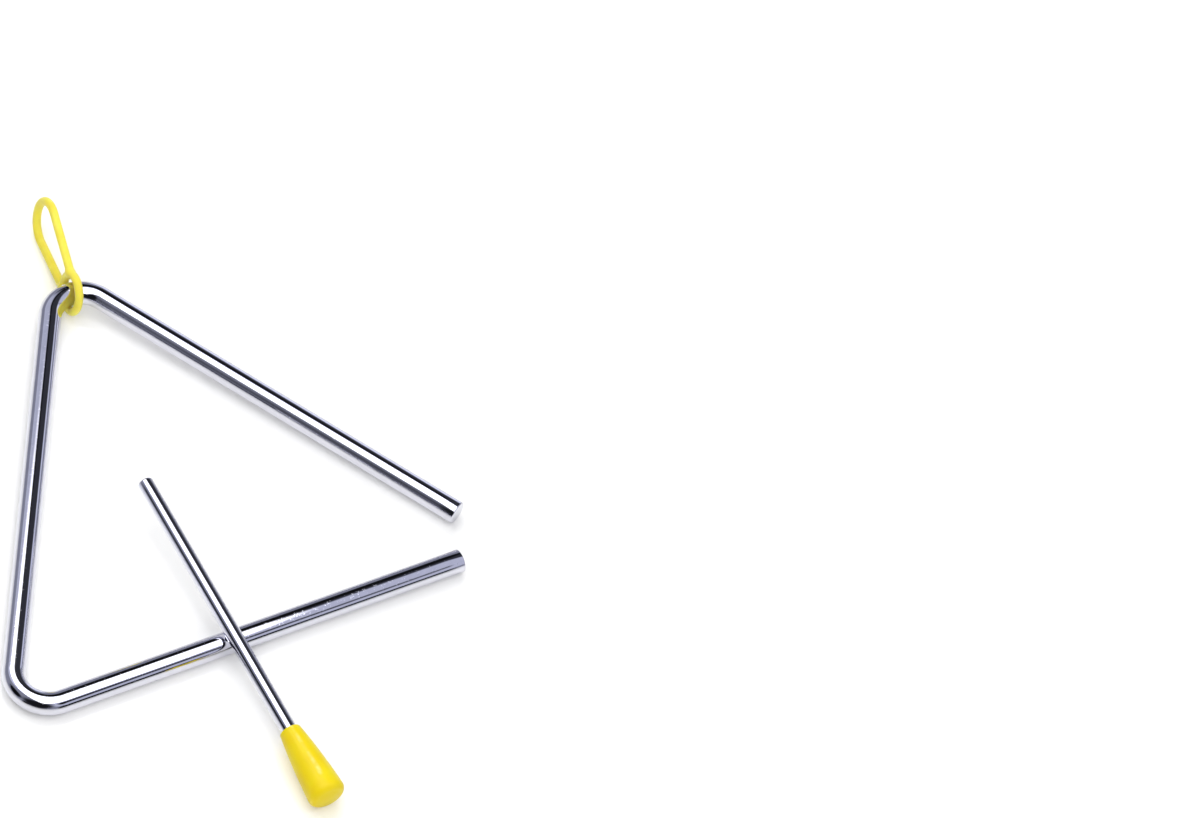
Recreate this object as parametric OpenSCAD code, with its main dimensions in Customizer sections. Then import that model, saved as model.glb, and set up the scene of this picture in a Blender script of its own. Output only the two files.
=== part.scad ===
// Triangle instrument lying on a table, in millimetres.
// The open corner points to +X, the lower bar runs along X and the corner that
// carries the finger loop points to +Y. The ring of the loop lies under the rod
// there, so the whole triangle tips up a little towards that corner. The beater
// lies across the lower bar with the end of its grip on the table.
// The origin is on the table, under the middle of everything.

/* [Rod] */
// Thickness of the rod
rod_d = 7; // [5:0.5:10]
// Side of the triangle between the sharp corners of the rod's centre line
side = 162; // [130:1:240]
// Radius of the rod's centre line in the two bends
bend_r = 9.8; // [8:0.2:16]
// Length missing from the upper bar at the open corner
upper_cut = 17.8; // [12:0.2:30]
// Length missing from the lower bar at the open corner
lower_cut = 15.7; // [10:0.1:28]
// Bevel round the two cut ends
end_bevel = 0.4; // [0.2:0.1:1]

/* [Holder loop] */
// Thickness of the plastic strand
strand_d = 2.6; // [2:0.1:3.6]
// Play of the ring on the rod, across both sides
ring_play = 1.6; // [1.2:0.1:3]
// Width inside the round end of the finger loop
finger_w = 11.6; // [8:0.2:20]
// Distance from the ring's centre to the round end's centre
loop_reach = 25.2; // [18:0.2:36]
// Angle at which each side of the loop closes towards the ring
loop_taper = 9; // [0:1:12]
// Turn of the loop away from straight outwards
loop_turn = 8; // [0:1:12]
// Lean of the loop away from standing upright on its edge
loop_lean = 12; // [0:1:14]
// Place of the ring along the rod, from the middle of the bend
loop_shift = 0.8; // [0.4:0.1:1.6]

/* [Beater] */
// Thickness of the beater's shaft
beater_d = 4.8; // [3:0.1:7]
// Length of the whole beater with its grip
beater_l = 117.5; // [100:0.5:180]
// Rounding of the shaft's striking end
tip_round = 0.7; // [0.3:0.1:1.4]
// Place where the beater crosses the lower bar, from the closed corner
beater_at = 70.7; // [50:0.1:100]
// Turn of the beater away from straight across the bar
beater_turn = 1.5; // [0:0.5:20]
// Distance along the shaft from the bar to the widest part of the grip
beater_back = 59.6; // [50:0.1:75]

/* [Grip] */
// Length of the plastic grip
grip_l = 25; // [20:0.5:40]
// Width of the grip near its closed end
grip_d = 11.3; // [9:0.1:16]
// Wall of the grip round the shaft at its mouth
grip_wall = 0.9; // [0.8:0.05:2]
// How far the grip's side swells out between its mouth and its widest part
grip_swell = 0.27; // [0:0.01:0.6]
// Rounding of the grip's closed end
grip_round = 2; // [0.6:0.1:2.4]
// Height of the dome on the grip's closed end
grip_dome = 0.4; // [0.1:0.1:1]
// Rounding of the grip's mouth
lip_round = 0.5; // [0.2:0.1:0.7]
// Thickness of the grip's closed end, behind the shaft
grip_floor = 6; // [4:0.5:12]

/* [Fit] */
// Gap left where two loose pieces rest on each other
rest_gap = 0.15; // [0.1:0.01:0.3]

/* [Hidden] */
$fn = 64;

// Length by which pieces of one solid run into each other
overrun = 0.2;

rod_r = rod_d / 2;
strand_r = strand_d / 2;
beater_r = beater_d / 2;
grip_r = grip_d / 2;

// The triangle in its own plane
corner = 60;
bend_turn = 180 - corner;
height = side * sin(corner);
// Thickness of the rod in a bend, where it stretches, as a share of the straight rod's
bend_share = 0.995;
// Length of each straight side that a bend takes up, from the sharp corner
bend_len = bend_r / tan(corner / 2);
leg_len = side - 2 * bend_len;
upper_len = side - bend_len - upper_cut;
lower_len = side - bend_len - lower_cut;
// Distance from the lower bar to the middle of the far bend
far_bend = height - bend_r;
tilt = asin((strand_d + rest_gap) / far_bend);

// The finger loop, flat, with the ring's centre at its origin and +X outwards
ring_r = (rod_d + ring_play + strand_d) / 2;
round_r = (finger_w + strand_d) / 2;
// Thickness of the two sides of the loop, as a share of the strand's
side_share = 0.98;
// Where a side of the loop leaves the round end, and where it meets the ring
tangent = [loop_reach - round_r * sin(loop_taper), round_r * cos(loop_taper)];
side_gap = round_r / cos(loop_taper) - loop_reach * tan(loop_taper);
foot_turn = asin(side_gap * cos(loop_taper) / ring_r) + loop_taper;
foot = ring_r * [cos(foot_turn), sin(foot_turn)];

// The loop stands on its edge, on the ring and on the round end
rise_sin = (round_r - ring_r) * cos(loop_lean)
    / sqrt(pow(loop_reach, 2) - pow((round_r - ring_r) * sin(loop_lean), 2));
loop_rise = asin(rise_sin);
upright = sqrt(pow(rise_sin, 2) + pow(cos(loop_rise) * cos(loop_lean), 2));
ring_z = ring_r * upright + strand_r;
// How far the loop's length and its width run along Y
reach_y = cos(loop_rise) * cos(loop_turn);
width_y = rise_sin * cos(loop_lean) * cos(loop_turn) + sin(loop_lean) * sin(loop_turn);

// The beater, with +X towards its striking end and its origin over the bar
grip_end = grip_round + grip_dome;
flat_r = grip_r - grip_round;
dome_r = (pow(flat_r, 2) + pow(grip_dome, 2)) / (2 * grip_dome);
mouth_r = beater_r + grip_wall;
bore_bottom = grip_floor - grip_end;
beater_z = rod_d + rest_gap + beater_r;
beater_rise = asin((beater_z - grip_r) / beater_back);
cone_len = grip_l - grip_end;
swell_steps = 12;
round_steps = 8;

// The box round everything, before the origin is moved to its middle
ring_y = far_bend * cos(tilt);
low_x = -side / 2 + bend_len - bend_r - rod_r;
high_x = max(side / 2 - lower_cut, side / 2 - upper_cut * cos(corner) + rod_r * sin(corner));
back_y = cos(beater_rise) * cos(beater_turn);
low_y = -(beater_back + grip_end - dome_r) * back_y - dome_r;
high_y = ring_y + loop_reach * reach_y + round_r * norm([reach_y, width_y]) + strand_r;

steel = [0.82, 0.83, 0.86];
yellow = [0.98, 0.86, 0.12];

// Points of an arc in a profile, without its first one
function arc(centre, r, from, to) = [
    for (i = [1:round_steps]) let (a = from + (to - from) * i / round_steps)
        centre + r * [cos(a), sin(a)]
];

// Moves a piece so that the origin is under the middle of everything
module centred() {
    translate([-(low_x + high_x) / 2, -(low_y + high_y) / 2, 0]) children();
}

// Bend round a corner at the origin, whose sides run along +X and 60 degrees from it
module bend() {
    translate([bend_len, bend_r, 0]) rotate([0, 0, 90 + corner])
        rotate_extrude(angle = bend_turn) translate([bend_r, 0]) circle(r = rod_r * bend_share);
}

// Straight stretch along +X from the bend of a corner at the origin, and on past its end by more
module bar(length, more) {
    translate([bend_len - overrun, 0, 0]) rotate([0, 90, 0])
        cylinder(r = rod_r, h = overrun + length + more);
}

// Straight stretch that ends with a bevelled cut
module cut_bar(length) {
    bar(length - end_bevel, 0);
    translate([bend_len + length - end_bevel, 0, 0]) rotate([0, 90, 0])
        cylinder(r1 = rod_r, r2 = rod_r - end_bevel, h = end_bevel);
}

// The bent rod in its own plane, with the lower bar's centre line on X
module bent_rod() {
    translate([-side / 2, 0, 0]) {
        bend();
        cut_bar(lower_len);
        rotate([0, 0, corner]) bar(leg_len, overrun);
    }
    translate([0, height, 0]) rotate([0, 0, -bend_turn]) {
        bend();
        rotate([0, 0, corner]) cut_bar(upper_len);
    }
}

module triangle_rod() {
    color(steel) centred() translate([0, 0, rod_r]) rotate([tilt, 0, 0]) bent_rod();
}

// One side of the finger loop, from just inside the round end to the middle of the ring's strand
module loop_side() {
    run = foot - tangent;
    translate([tangent.x, tangent.y, 0]) rotate([0, 0, atan2(run.y, run.x)])
        translate([-overrun, 0, 0]) rotate([0, 90, 0])
            cylinder(r = strand_r * side_share, h = overrun + norm(run));
}

// The flat moulding: the ring, the round end and the two sides between them
module loop_moulding() {
    rotate_extrude() translate([ring_r, 0]) circle(r = strand_r);
    translate([loop_reach, 0, 0]) rotate([0, 0, -90 - loop_taper])
        rotate_extrude(angle = 180 + 2 * loop_taper) translate([round_r, 0]) circle(r = strand_r);
    loop_side();
    mirror([0, 1, 0]) loop_side();
}

module holder_loop() {
    color(yellow) centred() translate([loop_shift, ring_y, ring_z])
        rotate([0, 0, 90 - loop_turn]) rotate([0, -loop_rise, 0]) rotate([90 + loop_lean, 0, 0])
            loop_moulding();
}

// Lays a piece of the beater, drawn along +Z, across the bar
module across_bar() {
    centred() translate([-side / 2 + beater_at, 0, beater_z]) rotate([0, 0, 90 + beater_turn])
        rotate([0, 90 - beater_rise, 0]) children();
}

module beater_rod() {
    bottom = bore_bottom - beater_back;
    top = beater_l - beater_back - grip_end;
    color(steel) across_bar() rotate_extrude() polygon(concat(
        [[0, bottom], [beater_r, bottom], [beater_r, top - tip_round]],
        arc([beater_r - tip_round, top - tip_round], tip_round, 0, 90),
        [[0, top]]
    ));
}

// Side of the grip from its widest part to its mouth
function grip_side() = [
    for (i = [1:swell_steps]) let (share = i / swell_steps)
        [grip_r + (mouth_r - grip_r) * share + 4 * grip_swell * share * (1 - share),
         (cone_len - lip_round) * share]
];

module beater_grip() {
    color(yellow) across_bar() translate([0, 0, -beater_back]) rotate_extrude() polygon(concat(
        [[0, -grip_end]],
        arc([0, dome_r - grip_end], dome_r, -90, asin(flat_r / dome_r) - 90),
        arc([flat_r, 0], grip_round, -90, 0),
        grip_side(),
        arc([mouth_r - lip_round, cone_len - lip_round], lip_round, 0, 90),
        [[beater_r, cone_len], [beater_r, bore_bottom], [0, bore_bottom]]
    ));
}

triangle_rod();
holder_loop();
beater_rod();
beater_grip();
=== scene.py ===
"""Looks of a triangle instrument that lies on a white table with its beater across it."""

import math

import bmesh
import bpy
import numpy as np
from mathutils import Matrix, Vector


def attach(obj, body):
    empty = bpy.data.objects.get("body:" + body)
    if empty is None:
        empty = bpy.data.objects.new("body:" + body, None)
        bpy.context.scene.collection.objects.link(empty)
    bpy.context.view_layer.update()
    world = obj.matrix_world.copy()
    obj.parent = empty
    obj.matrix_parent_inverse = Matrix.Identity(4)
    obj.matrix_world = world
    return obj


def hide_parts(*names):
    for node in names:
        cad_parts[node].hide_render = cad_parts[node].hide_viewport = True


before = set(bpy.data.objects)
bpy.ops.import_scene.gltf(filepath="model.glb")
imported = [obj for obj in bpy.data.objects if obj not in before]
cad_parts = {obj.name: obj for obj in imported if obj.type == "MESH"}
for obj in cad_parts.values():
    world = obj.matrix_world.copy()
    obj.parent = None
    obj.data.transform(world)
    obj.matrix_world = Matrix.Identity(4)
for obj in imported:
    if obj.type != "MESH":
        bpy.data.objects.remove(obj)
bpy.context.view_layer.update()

MM = 0.001
UP = Vector((0, 0, 1))

# Sizes of the rod, as in the CAD model
ROD_R = 3.5 * MM
SIDE = 162 * MM
BEND_R = 9.8 * MM
UPPER_CUT = 17.8 * MM
LOWER_CUT = 15.7 * MM
END_BEVEL = 0.4 * MM
CORNER = math.radians(60)

# Sizes of the holder loop
STRAND_R = 1.3 * MM
REST_GAP = 0.15 * MM
RING_PLAY = 1.6 * MM
ROUND_R = 7.1 * MM
REACH = 25.2 * MM
TAPER = math.radians(9)
TURN = math.radians(8)
LEAN = math.radians(12)
SHIFT = 0.8 * MM

# Sizes of the beater
BEATER_R = 2.4 * MM
BEATER_LEN = 117.5 * MM
TIP_ROUND = 0.7 * MM
BEATER_AT = 70.7 * MM
BEATER_TURN = math.radians(1.5)
BEATER_BACK = 59.6 * MM
GRIP_LEN = 25 * MM
GRIP_R = 5.65 * MM
GRIP_WALL = 0.9 * MM
GRIP_SWELL = 0.27 * MM
GRIP_ROUND = 2 * MM
GRIP_DOME = 0.4 * MM
LIP_ROUND = 0.5 * MM

# The rod's triangle and its tilt on the ring
HEIGHT = SIDE * math.sin(CORNER)
BEND_LEN = BEND_R / math.tan(CORNER / 2)
BEND_TURN = math.pi - CORNER
TILT = math.asin((2 * STRAND_R + REST_GAP) / (HEIGHT - BEND_R))

# The flat loop, whose ring is at its origin and whose round end lies along +X: where a side
# leaves the round end, and its foot on the ring
RING_R = ROD_R + RING_PLAY / 2 + STRAND_R
SIDE_OFFSET = ROUND_R - REACH * math.sin(TAPER)
FOOT_TURN = math.asin(SIDE_OFFSET / RING_R) + TAPER
FOOT = RING_R * np.array([math.cos(FOOT_TURN), math.sin(FOOT_TURN)])
LEAVE = np.array([REACH - ROUND_R * math.sin(TAPER), ROUND_R * math.cos(TAPER)])

# How the loop stands on its edge
RING_Y = (HEIGHT - BEND_R) * math.cos(TILT)
WIDER = ROUND_R - RING_R
LOOP_RISE = math.asin(WIDER * math.cos(LEAN) / math.sqrt(REACH**2 - (WIDER * math.sin(LEAN)) ** 2))
UPRIGHT = math.hypot(math.sin(LOOP_RISE), math.cos(LOOP_RISE) * math.cos(LEAN))
REACH_Y = math.cos(LOOP_RISE) * math.cos(TURN)
WIDTH_Y = math.sin(LOOP_RISE) * math.cos(LEAN) * math.cos(TURN) + math.sin(LEAN) * math.sin(TURN)

# How the beater lies on the lower bar, and its grip's closed end
BEATER_Z = 2 * ROD_R + REST_GAP + BEATER_R
BEATER_RISE = math.asin((BEATER_Z - GRIP_R) / BEATER_BACK)
GRIP_END = GRIP_ROUND + GRIP_DOME
FLAT_R = GRIP_R - GRIP_ROUND
DOME_R = (FLAT_R**2 + GRIP_DOME**2) / (2 * GRIP_DOME)

# The box round everything in the rod's own frame, whose middle is over the model's origin
LOW_X = -SIDE / 2 + BEND_LEN - BEND_R - ROD_R
HIGH_X = SIDE / 2 - UPPER_CUT * math.cos(CORNER) + ROD_R * math.sin(CORNER)
LOW_Y = -(BEATER_BACK + GRIP_END - DOME_R) * math.cos(BEATER_RISE) * math.cos(BEATER_TURN) - DOME_R
HIGH_Y = RING_Y + REACH * REACH_Y + ROUND_R * math.hypot(REACH_Y, WIDTH_Y) + STRAND_R
ORIGIN = Vector((-(LOW_X + HIGH_X) / 2, -(LOW_Y + HIGH_Y) / 2, 0))

# How finely the skins are divided, and from which angle on an edge stays sharp
SEGMENTS = 96
GRIP_SEGMENTS = 128
ROD_STEP = 5 * MM
BEND_STEPS = 44
BEVEL_STEPS = 5
SHAFT_STEPS = 30
EDGE_STEPS = 8
GRIP_ARC_STEPS = 12
GRIP_SIDE_STEPS = 40
CREASE = math.radians(32)


def placed(matrix):
    """A placing in the rod's own frame, moved to the model's."""
    return Matrix.Translation(ORIGIN) @ matrix


def turned(angle, axis):
    return Matrix.Rotation(angle, 4, axis)


def add_object(name, data):
    piece = bpy.data.objects.new(name, data)
    bpy.context.scene.collection.objects.link(piece)
    return piece


# Meshes


def finish_mesh(name, bm, matrix, crease=CREASE):
    """Makes an object of a mesh in its place: smooth, with creases where faces meet sharply."""
    bm.transform(matrix)
    bmesh.ops.recalc_face_normals(bm, faces=bm.faces)
    for face in bm.faces:
        face.smooth = True
    for edge in bm.edges:
        edge.smooth = len(edge.link_faces) != 2 or edge.calc_face_angle() < crease
    mesh = bpy.data.meshes.new(name)
    bm.to_mesh(mesh)
    bm.free()
    return add_object(name, mesh)


def round_section(bm, centre, side, up, radius, segments):
    """A ring of new vertices round a centre, in the plane of two directions."""
    turns = [2 * math.pi * k / segments for k in range(segments)]
    return [bm.verts.new(centre + radius * (math.cos(a) * side + math.sin(a) * up)) for a in turns]


def sweep(rings, segments=SEGMENTS):
    """A closed skin over rings, each a centre, two directions across it and a radius.

    Its UV map runs along the length and round the girth, both in metres.
    """
    bm = bmesh.new()
    uv = bm.loops.layers.uv.new("length_girth")
    sections = [round_section(bm, *ring, segments) for ring in rings]
    lengths = [0]
    for before, after in zip(rings[:-1], rings[1:]):
        lengths.append(lengths[-1] + (after[0] - before[0]).length)
    girth_step = 2 * math.pi * max(ring[3] for ring in rings) / segments
    for i in range(len(sections) - 1):
        for k in range(segments):
            j = (k + 1) % segments
            face = bm.faces.new((sections[i][k], sections[i][j], sections[i + 1][j], sections[i + 1][k]))
            places = ((i, k), (i, k + 1), (i + 1, k + 1), (i + 1, k))
            for corner, (ring, step) in zip(face.loops, places):
                corner[uv].uv = (lengths[ring], step * girth_step)
    bm.faces.new(reversed(sections[0]))
    bm.faces.new(sections[-1])
    return bm


def arc(centre, radius, start, end, steps):
    """Points of an arc in a profile, both ends included, with its angles in degrees."""
    turns = [math.radians(start + (end - start) * k / steps) for k in range(steps + 1)]
    return [(centre[0] + radius * math.cos(a), centre[1] + radius * math.sin(a)) for a in turns]


def straight_stretch(start, end):
    """Places along a straight stretch of the rod, without its two ends."""
    heading = (end - start).normalized()
    count = max(2, round((end - start).length / ROD_STEP))
    return [(start.lerp(end, k / count), heading, ROD_R) for k in range(1, count)]


def bend(corner, before):
    """Places round a corner, for a rod that comes from the point before and turns left."""
    heading = (corner - before).normalized()
    start = corner - heading * BEND_LEN
    centre = start + UP.cross(heading) * BEND_R
    places = []
    for k in range(BEND_STEPS + 1):
        turn = Matrix.Rotation(BEND_TURN * k / BEND_STEPS, 3, UP)
        places.append((centre + turn @ (start - centre), turn @ heading, ROD_R))
    return places


def cut_end(end, heading, inward):
    """Places over the bevel of a cut end, from its face inward."""
    bevel = arc((ROD_R - END_BEVEL, END_BEVEL), END_BEVEL, -90, 0, BEVEL_STEPS)
    return [(end + inward * depth, heading, radius) for radius, depth in bevel]


def triangle_rod():
    """The bent rod, from the upper bar's cut end round both bends to the lower bar's."""
    top = Vector((0, HEIGHT, 0))
    left = Vector((-SIDE / 2, 0, 0))
    right = Vector((SIDE / 2, 0, 0))
    along_upper = (top - right).normalized()
    along_left = (left - top).normalized()
    along_lower = (right - left).normalized()
    upper_end = right + along_upper * UPPER_CUT
    lower_end = right - along_lower * LOWER_CUT
    top_bend = bend(top, right)
    left_bend = bend(left, top)
    places = cut_end(upper_end, along_upper, along_upper)
    places += straight_stretch(upper_end + along_upper * END_BEVEL, top - along_upper * BEND_LEN)
    places += top_bend
    places += straight_stretch(top_bend[-1][0], left - along_left * BEND_LEN)
    places += left_bend
    places += straight_stretch(left_bend[-1][0], lower_end - along_lower * END_BEVEL)
    places += reversed(cut_end(lower_end, along_lower, -along_lower))
    rings = [(centre, UP.cross(heading), UP, radius) for centre, heading, radius in places]
    matrix = placed(Matrix.Translation((0, 0, ROD_R)) @ turned(TILT, "X"))
    return finish_mesh("rod_skin", sweep(rings), matrix)


def beater_frame():
    """Placing of the beater, drawn along +Z with its origin over the bar."""
    over_bar = Matrix.Translation((-SIDE / 2 + BEATER_AT, 0, BEATER_Z))
    turns = turned(math.pi / 2 + BEATER_TURN, "Z") @ turned(math.pi / 2 - BEATER_RISE, "Y")
    return placed(over_bar @ turns)


def lathe(name, profile, matrix, segments=SEGMENTS):
    """A turned skin over (radius, height) points, from its closed lower end to its upper one."""
    rings = [(Vector((0, 0, z)), Vector((1, 0, 0)), Vector((0, 1, 0)), r) for r, z in profile]
    return finish_mesh(name, sweep(rings, segments), matrix)


# How far the shaft's skin goes into the grip, and how far down the grip's mouth is hollow
SHAFT_HIDDEN = 3 * MM
MOUTH_DEPTH = 2 * MM


def beater_shaft():
    bottom = -BEATER_BACK + GRIP_LEN - GRIP_END - SHAFT_HIDDEN
    top = BEATER_LEN - BEATER_BACK - GRIP_END
    side = top - TIP_ROUND - bottom
    profile = [(BEATER_R, bottom + side * k / SHAFT_STEPS) for k in range(SHAFT_STEPS)]
    profile += arc((BEATER_R - TIP_ROUND, top - TIP_ROUND), TIP_ROUND, 0, 90, EDGE_STEPS)
    return lathe("shaft_skin", profile, beater_frame())


def beater_grip():
    """The grip: its domed end, the rounding round that, the swelling side and the lip."""
    cone = GRIP_LEN - GRIP_END
    mouth = BEATER_R + GRIP_WALL
    dome_turn = math.degrees(math.asin(FLAT_R / DOME_R))
    profile = arc((0, DOME_R - GRIP_END), DOME_R, -90, dome_turn - 90, GRIP_ARC_STEPS)[1:]
    profile += arc((FLAT_R, 0), GRIP_ROUND, -90, 0, GRIP_ARC_STEPS)[1:]
    for k in range(1, GRIP_SIDE_STEPS + 1):
        share = k / GRIP_SIDE_STEPS
        swell = 4 * GRIP_SWELL * share * (1 - share)
        profile.append((GRIP_R + (mouth - GRIP_R) * share + swell, (cone - LIP_ROUND) * share))
    profile += arc((mouth - LIP_ROUND, cone - LIP_ROUND), LIP_ROUND, 0, 90, EDGE_STEPS)[1:]
    profile += [(BEATER_R, cone), (BEATER_R, cone - MOUTH_DEPTH)]
    matrix = beater_frame() @ Matrix.Translation((0, 0, -BEATER_BACK))
    return lathe("grip_skin", profile, matrix, GRIP_SEGMENTS)


# The loop's skin: the fillets at the ring, how far up from its foot a side starts, how finely the
# rough tubes are made, and how they are pulled onto the final skin
LOOP_FILLET = 1.2 * MM
SIDE_START_SHARE = 0.02
RING_POINTS = 65
ROUND_POINTS = 49
TUBE_SEGMENTS = 12
LOOP_VOXEL = 0.2 * MM
PULL_PASSES = 6
SLOPE_STEP = 0.01 * MM
LEAST_STEEPNESS = 0.25


def loop_frame():
    """Placing of the flat loop on the table."""
    centre = Vector((SHIFT, RING_Y, RING_R * UPRIGHT + STRAND_R))
    turns = turned(math.pi / 2 - TURN, "Z") @ turned(-LOOP_RISE, "Y") @ turned(math.pi / 2 + LEAN, "X")
    return placed(Matrix.Translation(centre) @ turns)


def loop_field(points):
    """Distance from the loop's filleted skin, for an array of points in the loop's own frame.

    The ring and the teardrop are two round strands, which blend softly where they meet.
    """
    x, y, z = points[:, 0], np.abs(points[:, 1]), points[:, 2]
    ring = np.hypot(np.hypot(x, y) - RING_R, z)
    run = LEAVE - FOOT
    share = ((x - FOOT[0]) * run[0] + (y - FOOT[1]) * run[1]) / (run @ run)
    share = np.clip(share, SIDE_START_SHARE, 1)
    side = np.sqrt((x - FOOT[0] - share * run[0]) ** 2 + (y - FOOT[1] - share * run[1]) ** 2 + z**2)
    round_end = np.hypot(np.hypot(x - REACH, y) - ROUND_R, z)
    past = (x - LEAVE[0]) * math.cos(TAPER) + (y - LEAVE[1]) * math.sin(TAPER) > 0
    teardrop = np.where(past, round_end, side)
    blend = np.clip(0.5 + 0.5 * (teardrop - ring) / LOOP_FILLET, 0, 1)
    return teardrop * (1 - blend) + ring * blend - LOOP_FILLET * blend * (1 - blend) - STRAND_R


def flat_arc(centre_x, radius, start, end, count):
    """Points of an arc in the flat loop's plane, round a centre on its X axis."""
    turns = np.linspace(start, end, count)
    return [Vector((centre_x + radius * math.cos(a), radius * math.sin(a), 0)) for a in turns]


def loop_tubes():
    """Rough tubes along the ring and the teardrop, to be pulled onto the filleted skin."""
    bm = bmesh.new()
    leave_turn = math.pi / 2 + TAPER
    ring = flat_arc(0, RING_R, 0, 2 * math.pi, RING_POINTS)
    round_end = flat_arc(REACH, ROUND_R, -leave_turn, leave_turn, ROUND_POINTS)
    teardrop = [Vector((FOOT[0], -FOOT[1], 0)), *round_end, Vector((FOOT[0], FOOT[1], 0))]
    for path in (ring, teardrop):
        sections = []
        for k, centre in enumerate(path):
            ahead = (path[min(k + 1, len(path) - 1)] - path[max(k - 1, 0)]).normalized()
            sections.append(round_section(bm, centre, ahead.cross(UP), UP, STRAND_R, TUBE_SEGMENTS))
        for before, after in zip(sections[:-1], sections[1:]):
            for i in range(TUBE_SEGMENTS):
                bm.faces.new((before[i], before[i - 1], after[i - 1], after[i]))
        bm.faces.new(sections[0])
        bm.faces.new(reversed(sections[-1]))
    bmesh.ops.recalc_face_normals(bm, faces=bm.faces)
    mesh = bpy.data.meshes.new("loop_rough")
    bm.to_mesh(mesh)
    bm.free()
    return mesh


def in_one_skin(mesh):
    """A mesh of crossing tubes, remeshed into one skin."""
    rough = add_object("loop_rough", mesh)
    remesh = rough.modifiers.new("one_skin", "REMESH")
    remesh.mode = "VOXEL"
    remesh.voxel_size = LOOP_VOXEL
    graph = bpy.context.evaluated_depsgraph_get()
    skin = bpy.data.meshes.new_from_object(rough.evaluated_get(graph))
    bpy.data.objects.remove(rough)
    return skin


def holder_loop():
    """The moulding: rough tubes in one skin, pulled onto where the field is zero."""
    mesh = in_one_skin(loop_tubes())
    points = np.empty(len(mesh.vertices) * 3)
    mesh.vertices.foreach_get("co", points)
    points = points.reshape(-1, 3)
    for _ in range(PULL_PASSES):
        field = loop_field(points)
        ahead = [loop_field(points + SLOPE_STEP * axis) for axis in np.eye(3)]
        slope = np.stack([value - field for value in ahead], 1) / SLOPE_STEP
        steepness = np.maximum((slope**2).sum(1), LEAST_STEEPNESS)
        points -= (field / steepness)[:, None] * slope
    mesh.vertices.foreach_set("co", points.ravel())
    bm = bmesh.new()
    bm.from_mesh(mesh)
    return finish_mesh("loop_skin", bm, loop_frame(), crease=math.pi)


# Materials

# The sockets of a Mix node that blends colours, by number, as its other kinds share their names
MIX_SHARE = 0
MIX_FIRST = 6
MIX_SECOND = 7
MIX_RESULT = 2


class Graph:
    """Short ways to add nodes to a node tree."""

    def __init__(self, tree):
        self.nodes = tree.nodes
        self.links = tree.links

    def feed(self, socket, value):
        """Links another node's result to a socket, or sets the socket to a plain value."""
        if isinstance(value, bpy.types.NodeSocket):
            self.links.new(value, socket)
        else:
            socket.default_value = value

    def node(self, kind, inputs=(), **settings):
        node = self.nodes.new("ShaderNode" + kind)
        for key, value in settings.items():
            setattr(node, key, value)
        for key, value in dict(inputs).items():
            self.feed(node.inputs[key], value)
        return node

    def noise(self, vector, scale, detail, roughness=0.5):
        inputs = {"Vector": vector, "Scale": scale, "Detail": detail, "Roughness": roughness}
        return self.node("TexNoise", inputs).outputs["Fac"]

    def stretched(self, vector, scale):
        return self.node("Mapping", {"Vector": vector, "Scale": scale}).outputs["Vector"]

    def math(self, operation, *values):
        return self.node("Math", enumerate(values), operation=operation).outputs[0]

    def mixed(self, share, first, second):
        """A blend of two colours."""
        inputs = {MIX_SHARE: share, MIX_FIRST: first, MIX_SECOND: second}
        return self.node("Mix", inputs, data_type="RGBA").outputs[MIX_RESULT]

    def between(self, value, low, high, to_low=0.0, to_high=1.0, kind="LINEAR"):
        """A value mapped from one span to another, and held at its ends."""
        inputs = {"Value": value, "From Min": low, "From Max": high, "To Min": to_low, "To Max": to_high}
        return self.node("MapRange", inputs, interpolation_type=kind).outputs["Result"]

    def ramp(self, value, low, high, to_low=0.0, to_high=1.0):
        """A smooth step from one value to another."""
        return self.between(value, low, high, to_low, to_high, "SMOOTHSTEP")


class Material(Graph):
    """A node material with one shader, on whose normal each bump is laid over the last."""

    def __init__(self, name):
        self.material = bpy.data.materials.new(name)
        self.material.use_nodes = True
        super().__init__(self.material.node_tree)
        self.shader = self.nodes["Principled BSDF"]
        self.normal = None

    def place(self):
        return self.node("TexCoord").outputs["Object"]

    def length_girth(self):
        return self.node("UVMap", uv_map="length_girth").outputs["UV"]

    def bump(self, height, strength, depth):
        inputs = {"Height": height, "Strength": strength, "Distance": depth}
        if self.normal is not None:
            inputs["Normal"] = self.normal
        self.normal = self.node("Bump", inputs).outputs["Normal"]

    def finish(self, **values):
        for key, value in values.items():
            self.feed(self.shader.inputs[key.replace("_", " ")], value)
        if self.normal is not None:
            self.links.new(self.normal, self.shader.inputs["Normal"])
        return self.material


# In the values below, a noise has its scale per metre, its detail and its roughness, a bump its
# strength and depth, and a span the two values of a noise between which something changes.

# Chrome: faint waves, drawing lines that run along the rod, tiny pits, and smears
PLATE_LIGHT = (0.78, 0.78, 0.84, 1)
PLATE_DULL = (0.73, 0.73, 0.79, 1)
PLATE_SPAN = (0.35, 0.7)
PLATE_ROUGHNESS = (0.02, 0.05)
PLATE_ROUGHNESS_SPAN = (0.4, 0.75)
WAVE_NOISE = (55, 1)
WAVE_BUMP = (0.3, 0.2 * MM)
LINE_NOISE = (1, 4, 0.6)
LINE_BUMP = (0.1, 0.02 * MM)
PIT_NOISE = (1500, 2)
PIT_SPAN = (0.6, 0.75)
PIT_BUMP = (0.35, 0.02 * MM)
SMEAR_NOISE = (260, 5, 0.6)
# Scales of the drawing lines per metre: along a piece, round the rod and round the shaft
LINES_ALONG = 12
ROD_LINES_ROUND = 2600
SHAFT_LINES_ROUND = 3400


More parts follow.
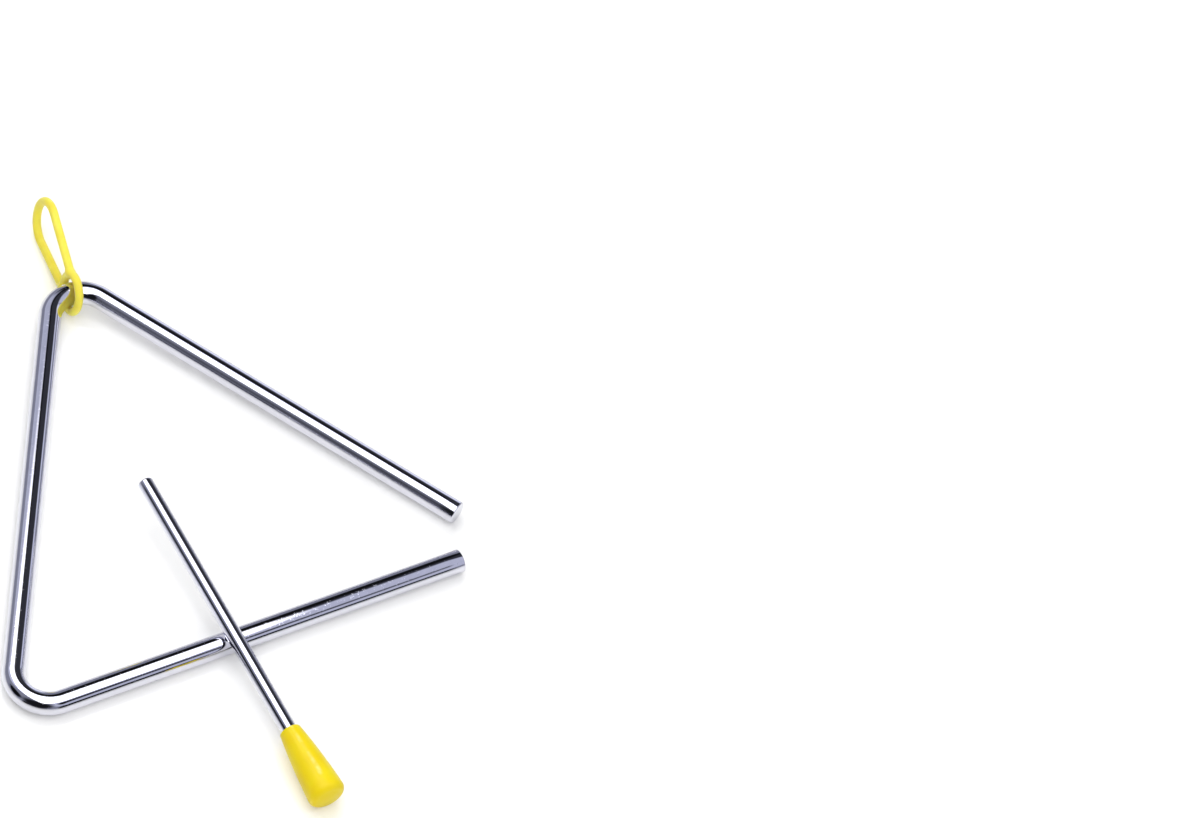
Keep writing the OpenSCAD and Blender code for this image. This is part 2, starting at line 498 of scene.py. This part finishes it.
def chrome(name, lines_round):
    """Bright plate over drawn steel."""
    m = Material(name)
    place = m.place()
    smears = m.noise(place, *SMEAR_NOISE)
    pits = m.noise(place, *PIT_NOISE)
    m.bump(m.noise(place, *WAVE_NOISE), *WAVE_BUMP)
    m.bump(m.noise(m.stretched(m.length_girth(), (LINES_ALONG, lines_round, 1)), *LINE_NOISE), *LINE_BUMP)
    m.bump(m.between(pits, *PIT_SPAN, 1, 0), *PIT_BUMP)
    return m.finish(
        Base_Color=m.mixed(m.between(smears, *PLATE_SPAN), PLATE_LIGHT, PLATE_DULL),
        Metallic=1.0,
        Roughness=m.between(smears, *PLATE_ROUGHNESS_SPAN, *PLATE_ROUGHNESS),
    )


# Plastic: clouds of a deeper colour, shallow dents, soft orange peel and fine scuffs
LOOP_YELLOW = (0.90, 0.82, 0.12, 1)
LOOP_DEEP = (0.80, 0.68, 0.075, 1)
GRIP_YELLOW = (0.82, 0.67, 0.014, 1)
GRIP_DEEP = (0.79, 0.61, 0.01, 1)
CLOUD_NOISE = (120, 3)
CLOUD_SPAN = (0.3, 0.7)
DENT_NOISE = (180, 1)
DENT_BUMP = (0.35, 0.25 * MM)
PEEL_NOISE = (900, 2)
PEEL_BUMP = (0.12, 0.05 * MM)
SCUFF_STRETCH = (400, 2600, 2600)
SCUFF_NOISE = (1, 4, 0.6)
SCUFF_SPAN = (0.45, 0.75)
PLASTIC_ROUGHNESS = (0.3, 0.42)
PLASTIC_IOR = 1.48
PLASTIC_SPECULAR = 0.2
# How much light goes into the plastic, how far each colour goes in it, and how deep
INNER_LIGHT = 0.55
INNER_REACH = (1.0, 0.75, 0.15)
LOOP_DEPTH = 2.5 * MM
GRIP_DEPTH = 1.5 * MM

# The grip's painted highlight, a pale streak laid into its colour along the top where the panel overhead
# shines: its place round the girth, from where to where along the grip it fades in, how far from its middle
# it fades out, how strong it is, and how it is broken up
PAINTED_HIGHLIGHT_PALE = (0.95, 0.88, 0.42, 1)
GRIP_HIGHLIGHT_GIRTH = 17.4 * MM
HIGHLIGHT_FROM = 5.6 * MM
HIGHLIGHT_TO = 6.8 * MM
HIGHLIGHT_SPAN = (0.1 * MM, 1 * MM)
HIGHLIGHT_SHARE = 0.5
STREAK_BREAK_NOISE = (260, 2)
STREAK_BREAK_SPAN = (0.42, 0.6)
LEAST_STREAK_SHARE = 0.15


def painted_highlight_share(m, place, highlight_girth):
    """How much of the painted highlight's pale colour shows: a broken streak along the piece."""
    uv = m.node("SeparateXYZ", {0: m.length_girth()}).outputs
    aside = m.math("ABSOLUTE", m.math("SUBTRACT", uv["Y"], highlight_girth))
    line = m.between(aside, *HIGHLIGHT_SPAN, HIGHLIGHT_SHARE, 0)
    along = m.between(uv["X"], HIGHLIGHT_FROM, HIGHLIGHT_TO)
    broken = m.between(m.noise(place, *STREAK_BREAK_NOISE), *STREAK_BREAK_SPAN, LEAST_STREAK_SHARE, 1)
    return m.math("MULTIPLY", m.math("MULTIPLY", line, along), broken)


def plastic(name, light, deep, depth, highlight_girth=None):
    """Smooth, slightly uneven moulding; the last argument, if given, places a pale painted highlight streak
    round the girth.
    """
    m = Material(name)
    place = m.place()
    m.bump(m.noise(place, *DENT_NOISE), *DENT_BUMP)
    m.bump(m.noise(place, *PEEL_NOISE), *PEEL_BUMP)
    colour = m.mixed(m.between(m.noise(place, *CLOUD_NOISE), *CLOUD_SPAN), light, deep)
    # Painted highlight: a pale streak mixed into the colour where the lamp overhead shines on the grip
    if highlight_girth is not None:
        colour = m.mixed(painted_highlight_share(m, place, highlight_girth), colour, PAINTED_HIGHLIGHT_PALE)
    scuffs = m.noise(m.stretched(place, SCUFF_STRETCH), *SCUFF_NOISE)
    return m.finish(
        Base_Color=colour,
        Roughness=m.between(scuffs, *SCUFF_SPAN, *PLASTIC_ROUGHNESS),
        IOR=PLASTIC_IOR,
        Specular_IOR_Level=PLASTIC_SPECULAR,
        Subsurface_Weight=INNER_LIGHT,
        Subsurface_Radius=INNER_REACH,
        Subsurface_Scale=depth,
    )


# Camera, at the photograph's viewing angle

VIEW_AZIMUTH = math.radians(-36.311)
VIEW_ELEVATION = math.radians(52.613)
VIEW_ROLL = math.radians(11.041)
VIEW_TARGET = Vector((130.632 * MM, 35.557 * MM, 0))
VIEW_DISTANCE = 2680.7 * MM
FOCAL_PIXELS = 9000
FRAME_PIXELS = 1200
SENSOR_MM = 36
NEAR_CLIP = 50 * MM
FAR_CLIP = 50000 * MM


def photograph_camera():
    data = bpy.data.cameras.new("camera")
    data.sensor_width = SENSOR_MM
    data.lens = SENSOR_MM * FOCAL_PIXELS / FRAME_PIXELS
    data.clip_start = NEAR_CLIP
    data.clip_end = FAR_CLIP
    camera = add_object("camera", data)
    level = turned(VIEW_AZIMUTH, "Z") @ turned(math.pi / 2 - VIEW_ELEVATION, "X")
    back = level @ Vector((0, 0, VIEW_DISTANCE))
    camera.matrix_world = placed(Matrix.Translation(VIEW_TARGET + back) @ level @ turned(VIEW_ROLL, "Z"))
    bpy.context.scene.camera = camera


# Light: a large soft panel overhead and a grey room, which the chrome mirrors, and two soft
# lights, which it doesn't

# The panel: its sides, its slanted far edge, the notch in its far right corner and how softly
# its light ends there
PANEL_HEIGHT = 600 * MM
PANEL_X = (-339 * MM, 212 * MM)
PANEL_NEAR_Y = -468 * MM
PANEL_SOFT = 15 * MM
SLANT = math.radians(62)
SLANT_DISTANCE = 428 * MM
SLANT_SOFT = 70 * MM
NOTCH = (110 * MM, 223 * MM)
NOTCH_SOFT = 55 * MM
PANEL_FAR_Y = (SLANT_DISTANCE + SLANT_SOFT - PANEL_X[0] * math.cos(SLANT)) / math.sin(SLANT)
PANEL_RADIANCE = 1.9

# The soft lights, one from the viewer's side and one from the far right: each has its bearing
# and height, its distance, size and radiance
SOFT_LIGHTS = {
    "soft_fill": ((205, 28), 1500 * MM, 700 * MM, 5.5),
    "soft_key": ((35, 45), 1500 * MM, 900 * MM, 3.6),
}

# Each patch of the room: bearing, height, radius where it is full, radius where it ends, grey
ROOM_GREY = 0.27
ROOM_TINT = (0.92, 0.95, 1.2, 1)
NO_TINT = (1, 1, 1, 1)
ROOM_PATCHES = (
    (-11, 55, 18, 34, 0.9),
    (-79, 21, 12, 21, 0.005),
    (88, 26, 5, 13, 0.8),
    (148, 51, 36, 44, 0.59),
    (-111, 4, 3, 11, 0.005),
    (60, 44, 20, 28, 0.04),
    (19, 46, 13, 20, 0.005),
    (165, 39, 5, 13, 0.005),
    (-10, 49, 16, 24, 0.53),
    (169, 4, 7, 15, 0.005),
    (225, 28, 20, 38, 0.01),
    (44, 4, 7, 14, 0.9),
)


def direction(azimuth, elevation):
    """A direction from its bearing, clockwise from +Y, and its height above the horizon."""
    a = math.radians(azimuth)
    e = math.radians(elevation)
    return Vector((math.sin(a) * math.cos(e), math.cos(a) * math.cos(e), math.sin(e)))


def soft_step(graph, value, edge, soft, falls=False):
    """A smooth step over an edge, from dark to light, or to dark where it falls."""
    if falls:
        return graph.ramp(value, edge - soft, edge + soft, 1, 0)
    return graph.ramp(value, edge - soft, edge + soft)


def soft_panel():
    """The panel's light, which fades softly towards its edges and is missing in one corner."""
    data = bpy.data.lights.new("soft_panel", "AREA")
    data.shape = "RECTANGLE"
    low = Vector((PANEL_X[0] - PANEL_SOFT, PANEL_NEAR_Y - PANEL_SOFT, PANEL_HEIGHT))
    high = Vector((PANEL_X[1] + PANEL_SOFT, PANEL_FAR_Y, PANEL_HEIGHT))
    size = high - low
    data.size = size.x
    data.size_y = size.y
    data.energy = PANEL_RADIANCE * math.pi * size.x * size.y
    data.use_nodes = True
    g = Graph(data.node_tree)
    position = g.node("NewGeometry").outputs["Position"]
    place = g.node("SeparateXYZ", {0: position}).outputs
    across_slant = Vector((math.cos(SLANT), math.sin(SLANT), 0))
    past = g.node("VectorMath", {0: position, 1: across_slant}, operation="DOT_PRODUCT").outputs["Value"]
    notch_x = soft_step(g, place["X"], NOTCH[0], NOTCH_SOFT)
    notch_y = soft_step(g, place["Y"], NOTCH[1], NOTCH_SOFT)
    light = soft_step(g, place["X"], PANEL_X[0], PANEL_SOFT)
    for part in (
        soft_step(g, place["X"], PANEL_X[1], PANEL_SOFT, falls=True),
        soft_step(g, place["Y"], PANEL_NEAR_Y, PANEL_SOFT),
        soft_step(g, past, SLANT_DISTANCE, SLANT_SOFT, falls=True),
        g.math("SUBTRACT", 1, g.math("MULTIPLY", notch_x, notch_y)),
    ):
        light = g.math("MULTIPLY", light, part)
    g.feed(g.nodes["Emission"].inputs["Strength"], light)
    panel = add_object("soft_panel", data)
    panel.location = (low + high) / 2
    panel.visible_camera = False


def soft_light(name, bearing, distance, size, radiance):
    """A round light far away, which no camera and no polished piece sees."""
    data = bpy.data.lights.new(name, "AREA")
    data.shape = "DISK"
    data.size = size
    data.energy = radiance * math.pi * math.pi * (size / 2) ** 2
    light = add_object(name, data)
    towards = direction(*bearing)
    light.location = towards * distance
    light.rotation_mode = "QUATERNION"
    light.rotation_quaternion = towards.to_track_quat("Z", "Y")
    light.visible_camera = False
    light.visible_glossy = False


def grey_room():
    """The world: an even grey with soft lighter and darker patches, bluish where it is mirrored."""
    world = bpy.data.worlds.new("room")
    world.use_nodes = True
    bpy.context.scene.world = world
    g = Graph(world.node_tree)
    look = g.node("TexCoord").outputs["Generated"]
    shade = ROOM_GREY
    for azimuth, elevation, full, end, grey in ROOM_PATCHES:
        towards = g.node("VectorMath", {0: look, 1: direction(azimuth, elevation)}, operation="DOT_PRODUCT")
        share = g.ramp(towards.outputs["Value"], math.cos(math.radians(end)), math.cos(math.radians(full)))
        shade = g.node("Mix", {"Factor": share, "A": shade, "B": grey}).outputs["Result"]
    mirrored = g.node("LightPath").outputs["Is Glossy Ray"]
    background = g.nodes["Background"].inputs
    g.feed(background["Color"], g.mixed(mirrored, NO_TINT, ROOM_TINT))
    g.feed(background["Strength"], shade)


# Floor: its grain, its gloss, and the glow that makes it white to the camera. The glow goes from
# its first strength to its second between the two radii, and polished pieces see a share of it.

FLOOR_R = 12000 * MM
FLOOR_LIGHT = (0.9, 0.9, 0.9, 1)
FLOOR_DARK = (0.88, 0.88, 0.88, 1)
GRAIN_NOISE = (400, 3)
FLOOR_ROUGHNESS = 0.1
FLOOR_IOR = 1.7
GLOW = (0.15, 0.8)
GLOW_R = (120 * MM, 500 * MM)
GLOW_COLOUR = (1, 1, 1, 1)
MIRRORED_SHARE = 0.2


def white_floor():
    """White paper, which glows a little, and more far away."""
    m = Material("floor_paper")
    place = m.place()
    ray = m.node("LightPath").outputs
    seen = m.math("MULTIPLY", ray["Is Glossy Ray"], MIRRORED_SHARE)
    for kind in ("Is Camera Ray", "Is Transmission Ray", "Is Diffuse Ray"):
        seen = m.math("MAXIMUM", seen, ray[kind])
    away = m.node("VectorMath", {0: place}, operation="LENGTH").outputs["Value"]
    return m.finish(
        Base_Color=m.mixed(m.noise(place, *GRAIN_NOISE), FLOOR_DARK, FLOOR_LIGHT),
        Roughness=FLOOR_ROUGHNESS,
        IOR=FLOOR_IOR,
        Emission_Color=GLOW_COLOUR,
        Emission_Strength=m.math("MULTIPLY", seen, m.ramp(away, *GLOW_R, *GLOW)),
    )


def floor():
    bm = bmesh.new()
    bmesh.ops.create_circle(bm, cap_ends=True, segments=SEGMENTS, radius=FLOOR_R)
    plane = finish_mesh("floor", bm, Matrix.Identity(4))
    plane.data.materials.append(white_floor())


def dress(piece, node, body, material):
    piece.data.materials.append(material)
    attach(piece, body)
    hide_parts(node)


bpy.context.scene.view_settings.view_transform = "Standard"
photograph_camera()
soft_panel()
for name, values in SOFT_LIGHTS.items():
    soft_light(name, *values)
grey_room()
floor()

rod_chrome = chrome("rod_chrome", ROD_LINES_ROUND)
loop_plastic = plastic("loop_plastic", LOOP_YELLOW, LOOP_DEEP, LOOP_DEPTH)
beater_chrome = chrome("beater_chrome", SHAFT_LINES_ROUND)
# The grip's colour carries a painted highlight streak along its top
grip_plastic = plastic("grip_plastic", GRIP_YELLOW, GRIP_DEEP, GRIP_DEPTH, GRIP_HIGHLIGHT_GIRTH)
dress(triangle_rod(), "triangle_rod", "triangle", rod_chrome)
dress(holder_loop(), "holder_loop", "loop", loop_plastic)
dress(beater_shaft(), "beater_rod", "beater", beater_chrome)
dress(beater_grip(), "beater_grip", "beater", grip_plastic)
